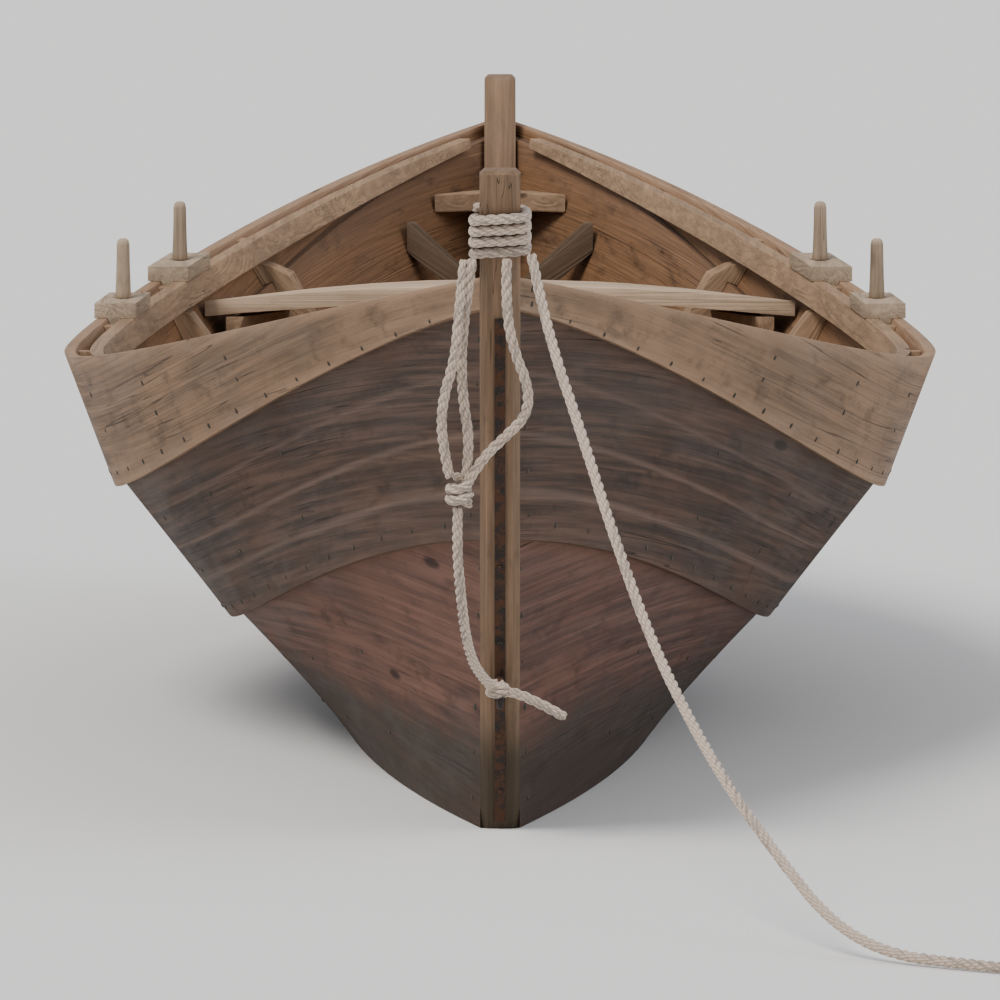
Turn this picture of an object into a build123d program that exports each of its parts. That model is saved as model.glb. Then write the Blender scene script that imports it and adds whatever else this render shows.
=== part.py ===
from build123d import *
from math import asin, atan2, cos, hypot, pi, sin, tan
import os

# Double-ended lapstrake rowing boat, in millimetres.
# +Z is up, the bow points to -Y, and the origin is at the middle of the flat bottom.

# ---------------------------------------------------------------- driving dimensions
HALF_LENGTH = 2700            # from the middle of the boat to the tip of either post's head
FOOT_HALF_LENGTH = 2000       # from the middle to the plank ends, along the bottom
RAKE = 0.64                   # how far the plank ends lean outwards for each unit of height
PLANK = 18                    # thickness of a side plank
LAP = 32                      # how far one plank covers the next
BOTTOM = 24                   # thickness of the bottom planks
POST_HALF = 30                # half the thickness of the posts
POST_AFT_STATION = 0.97       # station plane that the posts' inner faces lie in
POST_FRONT_FOOT = 2050        # where a post's outer face meets the bottom
POST_BULGE = 20               # how far a post's outer face bows out from a straight line
BOW_HEAD_HEIGHT = 1030
STERN_HEAD_HEIGHT = 975
PLANK_OVERRUN = 1.03          # the planks run to this station before they are cut at the posts
STATIONS = 11
BOTTOM_STATIONS = 25          # corners along the edge of the bottom planking
BOTTOM_EDGE_GAP = 0.3         # joint between the bottom planking and the garboards
SEAM_HALF_GAP = 0.5           # half of the seam along the middle of the bottom

# Edge lines of the planks: half-breadth and height amidships, half-breadth at the posts,
# height at the bow and at the stern, how early the line starts to rise, and how early it closes in
# on the way to the bow. It closes in towards the stern with a fineness of 0.
LINES = {
    "chine": dict(breadth=240, height=0, end=22, bow=0, stern=0, fullness=0.0, fineness=0.0),
    "lower_lap": dict(breadth=445, height=176, end=22, bow=458, stern=470, fullness=0.64, fineness=0.0),
    "upper_lap": dict(breadth=637, height=387, end=22, bow=815, stern=832, fullness=0.60, fineness=0.30),
    "sheer": dict(breadth=720, height=609, end=22, bow=865, stern=885, fullness=0.35, fineness=0.30),
}
PLANKS = (
    ("garboard", "chine", "lower_lap"),
    ("middle_strake", "lower_lap", "upper_lap"),
    ("sheer_strake", "upper_lap", "sheer"),
)

FRAME_PLACES = (-1440, -960, -480, 0, 480, 960, 1440)
FRAME_SIDED = 30              # size of a frame along the boat
FRAME_DEPTH = 38              # size of a frame across the planking
FRAME_HEAD = 22               # its size where the inwale passes inside it
FLOOR_DEPTH = 50              # its height over the bottom planks
FIT_GAP = 0.6                 # joiner's gap between fitted timbers

INWALE_WIDTH = 22
INWALE_HEIGHT = 42
INWALE_GAP = 24               # open slot between the sheer strake and the inwale
INWALE_END = 0.94             # the inwales stop at this station
INWALE_TAPER = 0.56           # share of the inwale's height that tapers away towards its ends

RISER_TOP = 350
RISER_HEIGHT = 50
RISER_WIDTH = 20
RISER_GAP = 2.8               # clearance that lets the risers bend past the frames
RISER_HALF_LENGTH = 1120

THWART_WIDTH = 215
THWART_THICKNESS = 28
THWART_PLACES = (("bow_thwart", -720), ("middle_thwart", 240), ("aft_thwart", 720))

AFT_SEAT_PLACE = 1205
AFT_SEAT_EDGE_HEIGHT = 625
AFT_SEAT_CAMBER = 28

FLOOR_BOARD = 16
CROOK_PLACE = 2050
CROOK_DEPTH = 55
BREASTHOOK_DROP = 120
BREASTHOOK_THICKNESS = 35
BREASTHOOK_LENGTH = 190

PIN_PLACES = (600, 1050)
PIN_HEIGHT = 105              # of the part of a thole pin that stands over its pad
PIN_RADIUS = 14
SHANK_RADIUS = 7
SHANK_LENGTH = 42
PIN_CLEARANCE = 0.05
PIN_INSET = 16                # from the inside of the sheer strake to a pin's axis
PAD_LENGTH = 150
PAD_THICKNESS = 26
TONGUE_DEPTH = 20             # how far a pad reaches down into the slot

BAND_HALF_WIDTH = 8
BAND_THICKNESS = 4
EYE_HEIGHT = 224

ROPE = 16
LASHING_LOW = 896
LASHING_HIGH = 968
BAND_LOW = 12                 # lower end of the iron bands
BAND_HIGH = LASHING_LOW - 90

NAIL_SPACING = 160
NAIL_RADIUS = 2.2
NAIL_HEAD_RADIUS = 5.5
NAIL_HEAD = 2.0

BOW = -1
STERN = 1
SIDES = (("starboard", 1), ("port", -1))


# ---------------------------------------------------------------- hull lines
def rise(u, fullness):
    """Smooth curve from 0 amidships to 1 at the posts."""
    return (1 + fullness) * u**2 - fullness * u**4


def line_point(name, u):
    """Half-breadth and height of a plank edge line at station u, -1 at the bow to 1 at the stern."""
    line = LINES[name]
    end_height = line["bow"] if u < 0 else line["stern"]
    fineness = line["fineness"] if u < 0 else 0.0
    x = line["breadth"] + (line["end"] - line["breadth"]) * rise(u, fineness)
    z = line["height"] + (end_height - line["height"]) * rise(u, line["fullness"])
    return x, z


def station_y(u, z):
    """Station planes stand upright amidships and lean with the posts at the ends."""
    return u * (FOOT_HALF_LENGTH + RAKE * z)


def in_station(u, point):
    x, z = point
    return (x, station_y(u, z), z)


def along(point, angle, distance):
    return point[0] + cos(angle) * distance, point[1] + sin(angle) * distance


def outward(point, angle, distance):
    """Moves a point square to a plank that runs up at an angle, towards the outside."""
    return point[0] + sin(angle) * distance, point[1] - cos(angle) * distance


def plank_angle(index, u):
    """Angle of a plank's inner face. A plank leans in so that the next one sits on its outside."""
    low = line_point(PLANKS[index][1], u)
    high = line_point(PLANKS[index][2], u)
    width = hypot(high[0] - low[0], high[1] - low[1])
    angle = atan2(high[1] - low[1], high[0] - low[0])
    if index < 2:
        angle += asin(PLANK / width)
    return angle


def plank_corners(index, u):
    """Named corners of a plank's section at station u."""
    low = line_point(PLANKS[index][1], u)
    high = line_point(PLANKS[index][2], u)
    angle = plank_angle(index, u)
    width = hypot(high[0] - low[0], high[1] - low[1])
    corners = {"inner_low": low}
    if index == 0:
        corners["outer_low"] = (low[0] + PLANK / sin(angle), low[1])
    else:
        corners["outer_low"] = outward(low, angle, PLANK)
    if index == 2:
        corners["inner_high"] = high
        corners["outer_high"] = (high[0] + PLANK / sin(angle), high[1])
        return corners
    reach = (width**2 - PLANK**2) ** 0.5 + LAP
    corners["inner_high"] = along(low, angle, reach)
    corners["lap_low"] = high
    turn = plank_angle(index + 1, u) - angle
    corners["lap_high"] = outward(corners["inner_high"], angle, PLANK - LAP * tan(turn))
    return corners


def station_at(place, corner):
    """Station where a corner line, a function of u, crosses the plane y = place."""
    low, high = -1.0, 1.0
    for _ in range(40):
        middle = (low + high) / 2
        if station_y(middle, corner(middle)[1]) < place:
            low = middle
        else:
            high = middle
    return (low + high) / 2


def corner_at(place, corner):
    """Half-breadth and height where a corner line crosses the plane y = place."""
    return corner(station_at(place, corner))


def plank_corner_at(place, index, name):
    return corner_at(place, lambda u: plank_corners(index, u)[name])


def inner_face_at(place, index, share):
    """Point on a plank's inner face, at a share of its height, in the plane y = place."""

    def point(u):
        corners = plank_corners(index, u)
        (x0, z0), (x1, z1) = corners["inner_low"], corners["inner_high"]
        return x0 + (x1 - x0) * share, z0 + (z1 - z0) * share

    return corner_at(place, point)


def bottom_edge(u):
    """Upper outer edge of the bottom planking."""
    low = line_point("chine", u)
    return low[0] + BOTTOM / tan(plank_angle(0, u)), BOTTOM


INNER_SHARES = (0.12, 0.3, 0.55, 0.8)
STEP = len(INNER_SHARES) + 1
LAP_STEPS = (STEP, STEP + 1, 2 * STEP + 1, 2 * STEP + 2)    # upper plank edges in the inside outline


def inside_outline(place):
    """Inside of the planking in the plane y = place, from the bottom's edge up to the sheer."""
    points = [corner_at(place, bottom_edge)]
    for index in (0, 1):
        for share in INNER_SHARES:
            points.append(inner_face_at(place, index, share))
        points.append(plank_corner_at(place, index, "inner_high"))
        points.append(plank_corner_at(place, index, "lap_high"))
    points.append(inner_face_at(place, 2, 0.6))
    points.append(inner_face_at(place, 2, 1.0))
    return points


def inside_breadth(place, height):
    """Half-breadth between the planks at a height, in the plane y = place."""
    outline = inside_outline(place)
    for (x0, z0), (x1, z1) in zip(outline, outline[1:]):
        if z0 <= height <= z1:
            return x0 + (x1 - x0) * (height - z0) / (z1 - z0)
    return outline[-1][0]


# ---------------------------------------------------------------- shape helpers
def face_of(points):
    return make_face(Polyline(*points, close=True)).face()


def upright_face(place, outline):
    return face_of([(x, place, z) for x, z in outline])


def loft_between(place, half_width, outline_at):
    """Solid between two upright sections, so that its ends follow the taper of the hull."""
    places = [place - half_width, place + half_width]
    return loft([upright_face(y, outline_at(y)) for y in places])


def mirrored(outline):
    """Full outline from the half that starts and ends on the middle line."""
    return outline + [(-x, z) for x, z in reversed(outline) if x > 1e-6]


def flat_board(outline, low, thickness):
    face = face_of([(x, y, low) for x, y in outline])
    return extrude(face, amount=thickness, dir=(0, 0, 1))


def port_or_starboard(shape, sign):
    return shape if sign > 0 else mirror(shape, about=Plane.YZ)


def save(shape, name):
    shape.label = name
    export_step(shape, f"parts/{name}.step")


# ---------------------------------------------------------------- planking
def side_plank(index):
    """One side plank, bent along the boat and cut off against the sides of the posts."""
    sections = []
    for i in range(STATIONS):
        u = PLANK_OVERRUN * (2 * i / (STATIONS - 1) - 1)
        sections.append(face_of(plank_section(index, u)))
    return split(loft(sections), bisect_by=Plane.YZ.offset(POST_HALF), keep=Keep.TOP)


def plank_section(index, u):
    corners = plank_corners(index, u)
    upper_end = ("outer_high", "inner_high") if index == 2 else ("lap_low", "lap_high", "inner_high")
    return [in_station(u, corners[name]) for name in ("inner_low", "outer_low") + upper_end]


def bottom_plank():
    """Half of the flat bottom, with its edge bevelled to the inside of the garboard."""
    lower, upper = [], []
    for i in range(BOTTOM_STATIONS):
        u = POST_AFT_STATION * (2 * i / (BOTTOM_STATIONS - 1) - 1)
        lower.append((line_point("chine", u)[0] - BOTTOM_EDGE_GAP, station_y(u, 0), 0))
        upper.append((bottom_edge(u)[0] - BOTTOM_EDGE_GAP, station_y(u, BOTTOM), BOTTOM))
    faces = []
    for edge in (lower, upper):
        middle_line = [(SEAM_HALF_GAP, y, z) for _, y, z in (edge[-1], edge[0])]
        faces.append(face_of(edge + middle_line))
    return loft(faces, ruled=True)


# ---------------------------------------------------------------- posts and their iron bands
def post_front(height, head_height, offset=0.0):
    """Outer face of a post, as a gentle arc: distance from the middle of the boat at a height."""
    share = height / head_height
    straight = POST_FRONT_FOOT + (HALF_LENGTH - POST_FRONT_FOOT) * share
    return straight + 4 * POST_BULGE * share * (1 - share) + offset


def post_inner(height):
    return POST_AFT_STATION * (FOOT_HALF_LENGTH + RAKE * height)


def front_arc(end, head_height, low, high, offset=0.0):
    points = [(end * post_front(z, head_height, offset), z) for z in (low, (low + high) / 2, high)]
    return ThreePointArc(*[(0, y, z) for y, z in points])


def post_blank(end, head_height, half_width, grow=0.0):
    """Side view of a post, extruded across the boat; grow makes it larger all round."""
    front = front_arc(end, head_height, 0, head_height, grow)
    head_inner = (0, end * (post_inner(head_height) - grow), head_height)
    foot_inner = (0, end * (post_inner(0) - grow), 0)
    outline = front + Polyline(front @ 1, head_inner, foot_inner, front @ 0)
    return extrude(make_face(outline).face(), amount=half_width, dir=(1, 0, 0), both=True)


def post(end, head_height):
    body = post_blank(end, head_height, POST_HALF)
    front_edges = [e for e in body.edges() if e.length > head_height and
                   abs(e.center().Y) > (post_front(0.5 * head_height, head_height) - 30)]
    body = chamfer(front_edges, 11)
    top = body.edges().group_by(Axis.Z)[-1]
    return chamfer(top, 7)


def iron_band(end, head_height, low, high):
    """Flat iron strip down the outer face of a post."""
    grown = post_blank(end, head_height, BAND_HALF_WIDTH, BAND_THICKNESS)
    strip = grown - post_blank(end, head_height, POST_HALF)
    slab = Box(4 * BAND_HALF_WIDTH, HALF_LENGTH, high - low)
    band = (strip & (Pos(0, end * HALF_LENGTH * 1.25, (low + high) / 2) * slab)).solids()
    return max(band, key=lambda solid: abs(solid.center().Y))


def forefoot_eye(end, head_height):
    """Forged eye driven into the foot of the stem through its iron band."""
    y = end * post_front(EYE_HEIGHT, head_height)
    ring_centre = y + end * 30
    ring = Pos(0, ring_centre, EYE_HEIGHT) * (Rotation(0, 90, 0) * Torus(21, 5))
    shank = Pos(0, y - end * 21, EYE_HEIGHT) * (Rotation(90, 0, 0) * Cylinder(5, 62))
    return ring + shank


# ---------------------------------------------------------------- frames, crooks and breasthooks
def frame_back(place):
    """Outer edge of a frame, which follows the planks inside and stops just under the sheer."""
    outline = inside_outline(place)
    (x0, z0), (x1, z1) = outline[-2:]
    share = 1 - 6 / (z1 - z0)
    outline[-1] = (x0 + (x1 - x0) * share, z0 + (z1 - z0) * share)
    for i in LAP_STEPS:
        outline[i] = (outline[i][0], outline[i][1] + 2 * FIT_GAP)
    return [(x - FIT_GAP, z) for x, z in outline]


def frame_face(place):
    """Inner edge of a frame from its head, notched for the inwale, down to the floor timber."""
    back = frame_back(place)
    edge, low_in, high_in, top = back[0], back[LAP_STEPS[0]], back[LAP_STEPS[2]], back[-1]
    lean = INWALE_HEIGHT * (top[0] - back[-2][0]) / (top[1] - back[-2][1])
    notch = top[1] - INWALE_HEIGHT
    return [
        (top[0] - FRAME_HEAD, top[1]),
        (top[0] - FRAME_HEAD - lean, notch),
        (top[0] - FRAME_DEPTH - lean, notch - 4),
        (high_in[0] - FRAME_DEPTH * 0.80, high_in[1] + FRAME_DEPTH * 0.30),
        (low_in[0] - FRAME_DEPTH * 0.65, low_in[1] + FRAME_DEPTH * 0.70),
        (edge[0] - 4, BOTTOM + FLOOR_DEPTH),
    ]


def frame_outline(place):
    back = frame_back(place)
    back[0] = (back[0][0], BOTTOM)
    return [(0, BOTTOM)] + back + frame_face(place) + [(0, BOTTOM + FLOOR_DEPTH)]


def frame(place):
    return loft_between(place, FRAME_SIDED / 2, lambda y: mirrored(frame_outline(y)))


def crook_outline(place, end_height):
    tip_height = end_height - 165
    middle_height = end_height - 315
    tip = inside_breadth(place, tip_height - CROOK_DEPTH) - 2
    low = [(0, middle_height - CROOK_DEPTH), (tip, tip_height - CROOK_DEPTH)]
    return low + [(tip, tip_height), (0, middle_height)]


def end_crook(end, end_height):
    """Naturally V-shaped timber that ties the two sides together near a post."""
    return loft_between(end * CROOK_PLACE, 18, lambda y: mirrored(crook_outline(y, end_height)))


def breasthook(end, end_height):
    """Wedge of wood behind a post that holds the upper planks together."""
    low = end_height - BREASTHOOK_DROP - BREASTHOOK_THICKNESS
    near = post_inner(low) - 1
    far = near - BREASTHOOK_LENGTH
    near_x = inside_breadth(end * near, low) - 1.5
    far_x = inside_breadth(end * far, low) - 1.5
    outline = [(near_x, end * near), (far_x, end * far), (0, end * (far + 90)), (-far_x, end * far),
               (-near_x, end * near)]
    return flat_board(outline, low, BREASTHOOK_THICKNESS)


# ---------------------------------------------------------------- inwales, risers and thwarts
def inwale():
    """Long batten inside the frame heads, flush with the sheer."""
    sections = []
    for i in range(STATIONS):
        u = INWALE_END * (2 * i / (STATIONS - 1) - 1)
        x, z = plank_corners(2, u)["inner_high"]
        x -= INWALE_GAP
        height = INWALE_HEIGHT * (1 - INWALE_TAPER * (u / INWALE_END) ** 4)
        lean = height / tan(plank_angle(2, u))
        width = INWALE_WIDTH
        outline = [(x, z), (x - width, z), (x - width - lean, z - height), (x - lean, z - height)]
        sections.append(face_of([in_station(u, p) for p in outline]))
    return loft(sections)


def frame_inner_breadth(place, height):
    """Half-breadth between the frames' inner edges at a height on the middle strake or above."""
    inner = frame_face(place)
    for (x1, z1), (x0, z0) in zip(inner, inner[1:]):
        if z0 <= height <= z1:
            return x0 + (x1 - x0) * (height - z0) / (z1 - z0)
    return inner[0][0]


def riser_outline(place):
    low = RISER_TOP - RISER_HEIGHT
    high_x = frame_inner_breadth(place, RISER_TOP) - RISER_GAP
    low_x = frame_inner_breadth(place, low) - RISER_GAP
    top = [(high_x, RISER_TOP), (high_x - RISER_WIDTH, RISER_TOP)]
    return top + [(low_x - RISER_WIDTH, low), (low_x, low)]


def riser():
    """Ledge along the frames that carries the thwarts."""
    count = 7
    places = [RISER_HALF_LENGTH * (2 * i / (count - 1) - 1) for i in range(count)]
    return loft([upright_face(y, riser_outline(y)) for y in places])


def thwart(place):
    near, far = place - THWART_WIDTH / 2, place + THWART_WIDTH / 2
    near_x = inside_breadth(near, RISER_TOP) - 3
    far_x = inside_breadth(far, RISER_TOP) - 3
    outline = [(near_x, near), (far_x, far), (-far_x, far), (-near_x, near)]
    board = flat_board(outline, RISER_TOP, THWART_THICKNESS)
    long_edges = [e for e in board.edges().filter_by(Axis.X)]
    return fillet(long_edges, 6)


def aft_seat_breadth(place):
    return inside_breadth(place, AFT_SEAT_EDGE_HEIGHT - THWART_THICKNESS) - 5


def aft_seat():
    """High seat across the stern half, arched a little so that water runs off it."""
    half = THWART_WIDTH / 2

    def outline(place):
        x = aft_seat_breadth(place)
        low = AFT_SEAT_EDGE_HEIGHT - THWART_THICKNESS
        under = ThreePointArc((-x, place, low), (0, place, low + AFT_SEAT_CAMBER), (x, place, low))
        over = ThreePointArc((x, place, low + THWART_THICKNESS),
                             (0, place, low + THWART_THICKNESS + AFT_SEAT_CAMBER),
                             (-x, place, low + THWART_THICKNESS))
        return make_face(under + Line(under @ 1, over @ 0) + over + Line(over @ 1, under @ 0)).face()

    return loft([outline(AFT_SEAT_PLACE - half), outline(AFT_SEAT_PLACE + half)])


def aft_seat_cleat():
    """Short block on the sheer strake under each end of the aft seat."""
    top = AFT_SEAT_EDGE_HEIGHT - THWART_THICKNESS - 0.5
    low = top - 45

    def outline(place):
        x = inside_breadth(place, low) - 1
        return [(x, top), (x - 32, top), (x - 18, low), (x, low)]

    return loft_between(AFT_SEAT_PLACE, THWART_WIDTH / 2, outline)


def floor_board(half_width, half_length, centre_x):
    middle_height = BOTTOM + FLOOR_DEPTH + FLOOR_BOARD / 2
    board = Pos(centre_x, 0, middle_height) * Box(2 * half_width, 2 * half_length, FLOOR_BOARD)
    return fillet(board.edges().filter_by(Axis.Y).group_by(Axis.Z)[-1], 4)


# ---------------------------------------------------------------- rowing gear
def sheer_inside(place):
    return plank_corner_at(place, 2, "inner_high")


def pin_axis(place):
    """A thole pin stands in the middle of the slot between the sheer strake and the inwale."""
    return sheer_inside(place)[0] - PIN_INSET


def pad_outline(place):
    """T-shaped section: a pad over the gunwale, with a tongue down into the slot."""
    x, z = sheer_inside(place)
    low = z - TONGUE_DEPTH
    lean = x - inside_breadth(place, low)
    rest = z + FIT_GAP
    top = rest + PAD_THICKNESS
    tongue_out, tongue_in = x - 1.2, x - INWALE_GAP + 1.6
    outer, inner = x + PLANK + 4, x - INWALE_GAP - INWALE_WIDTH - 4
    outer_side = [(tongue_out - lean, low), (tongue_out, rest), (outer, rest), (outer, top)]
    return outer_side + [(inner, top), (inner, rest), (tongue_in, rest), (tongue_in - lean, low)]


def pad_top(place):
    return sheer_inside(place)[1] + FIT_GAP + PAD_THICKNESS


def rowlock_pad(place):
    pad = loft_between(place, PAD_LENGTH / 2, pad_outline)
    hole = Pos(pin_axis(place), place, pad_top(place)) * Cylinder(SHANK_RADIUS + PIN_CLEARANCE, 260)
    seat = Pos(pin_axis(place), place, pad_top(place) + 20) * Cylinder(PIN_RADIUS + 4, 40)
    return pad - hole - seat


def thole_pin(place):
    base = pad_top(place) + 0.3
    shank = Cylinder(SHANK_RADIUS, SHANK_LENGTH, align=(Align.CENTER, Align.CENTER, Align.MAX))
    upper = Cone(PIN_RADIUS, PIN_RADIUS - 3, PIN_HEIGHT, align=(Align.CENTER, Align.CENTER, Align.MIN))
    pin = Pos(pin_axis(place), place, base) * (upper + shank)
    return fillet(pin.edges().group_by(Axis.Z)[-1], 5)


# ---------------------------------------------------------------- nails
def lap_nail(index, u):
    """Copper nail through a lap, with its head outside and its rove inside."""
    corners = plank_corners(index, u)
    upper = plank_angle(index + 1, u)
    on_lap = along(corners["lap_low"], upper, LAP / 2)
    start = in_station(u, outward(on_lap, upper, PLANK))
    end = in_station(u, outward(on_lap, upper, -PLANK - 3))
    direction = Vector(*start) - Vector(*end)
    length = direction.length
    plane = Plane(origin=end, z_dir=direction)
    shank = plane * Cylinder(NAIL_RADIUS, length, align=(Align.CENTER, Align.CENTER, Align.MIN))
    head_plane = Plane(origin=start, z_dir=direction)
    head = head_plane * Cone(NAIL_HEAD_RADIUS, NAIL_HEAD_RADIUS * 0.6, NAIL_HEAD,
                             align=(Align.CENTER, Align.CENTER, Align.MIN))
    return shank + head


def lap_nails():
    """Nails along both laps, midway between the frames and at even spaces from there."""
    nails = []
    for index, last in ((0, 13), (1, 14)):
        for i in range(-last - 1, last + 1):
            place = (i + 0.5) * NAIL_SPACING
            u = station_at(place, lambda v: plank_corners(index, v)["lap_low"])
            nails.append(lap_nail(index, u))
    return nails


def thwart_nails():
    nails = []
    for name, place in THWART_PLACES:
        for dy in (-60, 60):
            x = frame_inner_breadth(place + dy, RISER_TOP) - 1 - RISER_WIDTH / 2
            for sign in (1, -1):
                top = RISER_TOP + THWART_THICKNESS
                shank = Cylinder(NAIL_RADIUS, 50, align=(Align.CENTER, Align.CENTER, Align.MAX))
                head = Cylinder(NAIL_HEAD_RADIUS, 1, align=(Align.CENTER, Align.CENTER, Align.MIN))
                nails.append(Pos(sign * x, place + dy, top) * (shank + head))
    return nails


# ---------------------------------------------------------------- ropes
def rope_path(points):
    """Straight runs joined by the largest tangent arcs that the runs allow."""
    vectors = [Vector(*p) for p in points]
    radii = []
    for a, b, c in zip(vectors, vectors[1:], vectors[2:]):
        turn = (b - a).get_angle(c - b) * pi / 180
        radii.append(0.45 * min((b - a).length, (c - b).length) / tan(turn / 2))
    return FilletPolyline(*points, radius=radii), radii


def rope(name, points, diameter=ROPE):
    path, radii = rope_path(points)
    section = Plane(origin=path @ 0, z_dir=path % 0) * Circle(diameter / 2)
    tube = sweep(section, path=path)
    expected = pi * diameter**2 / 4 * path.length
    print(f"{name}: length {path.length:.0f}, smallest radius {min(radii):.0f}, "
          f"volume {tube.volume / expected:.4f} of section x length")
    save(tube, name)


MOORING_ROUTE = [
    (46, -2664, 906), (60, -2702, 838), (84, -2762, 752), (114, -2832, 668), (163, -2962, 518),
    (222, -3122, 360), (306, -3352, 214), (386, -3568, 118), (452, -3722, 46), (528, -3822, 12),
    (620, -3903, 9), (700, -3966, 8.5), (762, -4005, 8.5), (807, -4026, 8.5),
]
OUTER_STRAND = [
    (-52, -2660, 898), (-60, -2664, 820), (-66, -2658, 752), (-84, -2636, 694), (-87, -2606, 634),
    (-74, -2580, 574),
]
INNER_STRAND = [
    (-40, -2666, 900), (-52, -2650, 820), (-57, -2628, 752), (-54, -2604, 684), (-44, -2582, 624),
    (-50, -2576, 574),
]
MIDDLE_STRAND = [
    (10, -2668, 900), (8, -2672, 830), (20, -2668, 766), (42, -2648, 712), (40, -2622, 668),
    (6, -2600, 634), (-28, -2588, 600), (-48, -2576, 566),
]
FALL = [
    (-62, -2574, 530), (-64, -2548, 470), (-58, -2494, 390), (-50, -2420, 316), (-34, -2330, 262),
    (-12, -2262, 236),
]
TAIL = [(4, -2256, 230), (26, -2266, 226), (50, -2272, 216), (74, -2272, 204), (98, -2268, 190)]

COIL_CENTRE = (852, -3930)
COIL_MIDDLE_RADIUS = 88
COIL_TURN_SPREAD = 26
COIL_HEIGHT = 34
END_KNOT_CENTRE = (936, -4048, 18)


def head_lashing():
    """Turns of rope round the stem head, as one closed band."""
    grown = post_blank(BOW, BOW_HEAD_HEIGHT, POST_HALF + ROPE, ROPE)
    slab = Box(400, 400, LASHING_HIGH - LASHING_LOW)
    middle = Pos(0, BOW * (HALF_LENGTH - 60), (LASHING_LOW + LASHING_HIGH) / 2)
    return (grown & (middle * slab)) - post(BOW, BOW_HEAD_HEIGHT)


def rope_knot(centre, size):
    """Plain rounded body of a knot."""
    return Pos(*centre) * scale(Sphere(1), by=size)


def coil():
    outer = COIL_MIDDLE_RADIUS + COIL_TURN_SPREAD
    inner = COIL_MIDDLE_RADIUS - COIL_TURN_SPREAD
    align = (Align.CENTER, Align.CENTER, Align.MIN)
    ring = Cylinder(outer, COIL_HEIGHT, align=align) - Cylinder(inner, COIL_HEIGHT, align=align)
    return Pos(*COIL_CENTRE, 0) * fillet(ring.edges(), 7)


# ---------------------------------------------------------------- build
def main():
    os.makedirs("parts", exist_ok=True)
    planks = {PLANKS[i][0]: side_plank(i) for i in range(3)}
    for side, sign in SIDES:
        for name, shape in planks.items():
            save(port_or_starboard(shape, sign), f"{name}_{side}")
        save(port_or_starboard(bottom_plank(), sign), f"bottom_plank_{side}")
        save(port_or_starboard(inwale(), sign), f"inwale_{side}")
        save(port_or_starboard(riser(), sign), f"thwart_riser_{side}")
        save(port_or_starboard(aft_seat_cleat(), sign), f"aft_seat_cleat_{side}")
        save(Compound([port_or_starboard(n, sign) for n in lap_nails()]), f"lap_nails_{side}")
        for number, place in enumerate(PIN_PLACES, 1):
            save(port_or_starboard(rowlock_pad(place), sign), f"rowlock_pad_{side}_{number}")
            save(port_or_starboard(thole_pin(place), sign), f"thole_pin_{side}_{number}")

    stem = post(BOW, BOW_HEAD_HEIGHT) - forefoot_eye(BOW, BOW_HEAD_HEIGHT)
    save(stem, "stem_post")
    save(post(STERN, STERN_HEAD_HEIGHT), "stern_post")
    eye = forefoot_eye(BOW, BOW_HEAD_HEIGHT)
    save(iron_band(BOW, BOW_HEAD_HEIGHT, BAND_LOW, BAND_HIGH) - eye, "stem_band")
    save(iron_band(STERN, STERN_HEAD_HEIGHT, BAND_LOW, BAND_HIGH), "stern_band")
    save(forefoot_eye(BOW, BOW_HEAD_HEIGHT), "forefoot_eye")

    for number, place in enumerate(FRAME_PLACES, 1):
        save(frame(place), f"frame_{number}")
    for name, end in (("bow", BOW), ("stern", STERN)):
        end_height = LINES["sheer"][name]
        save(end_crook(end, end_height), f"{name}_crook")
        save(breasthook(end, end_height), f"{name}_breasthook")
    for name, place in THWART_PLACES:
        save(thwart(place), name)
    save(Compound(thwart_nails()), "thwart_nails")
    save(aft_seat(), "aft_seat")
    save(floor_board(66, 1080, 0), "floor_board_middle")
    for side, sign in SIDES:
        save(floor_board(60, 600, sign * 136), f"floor_board_{side}")

    save(head_lashing(), "head_lashing")
    rope("bridle_outer_strand", OUTER_STRAND)
    rope("bridle_inner_strand", INNER_STRAND)
    rope("bridle_middle_strand", MIDDLE_STRAND)
    save(rope_knot((-60, -2576, 552), (24, 22, 34)), "bridle_knot")
    rope("bridle_fall", FALL)
    rope("bridle_tail", TAIL)
    rope("mooring_line", MOORING_ROUTE)
    save(coil(), "mooring_line_coil")
    save(rope_knot(END_KNOT_CENTRE, (24, 18, 18)), "mooring_line_end_knot")


main()
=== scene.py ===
import math
import random

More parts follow.
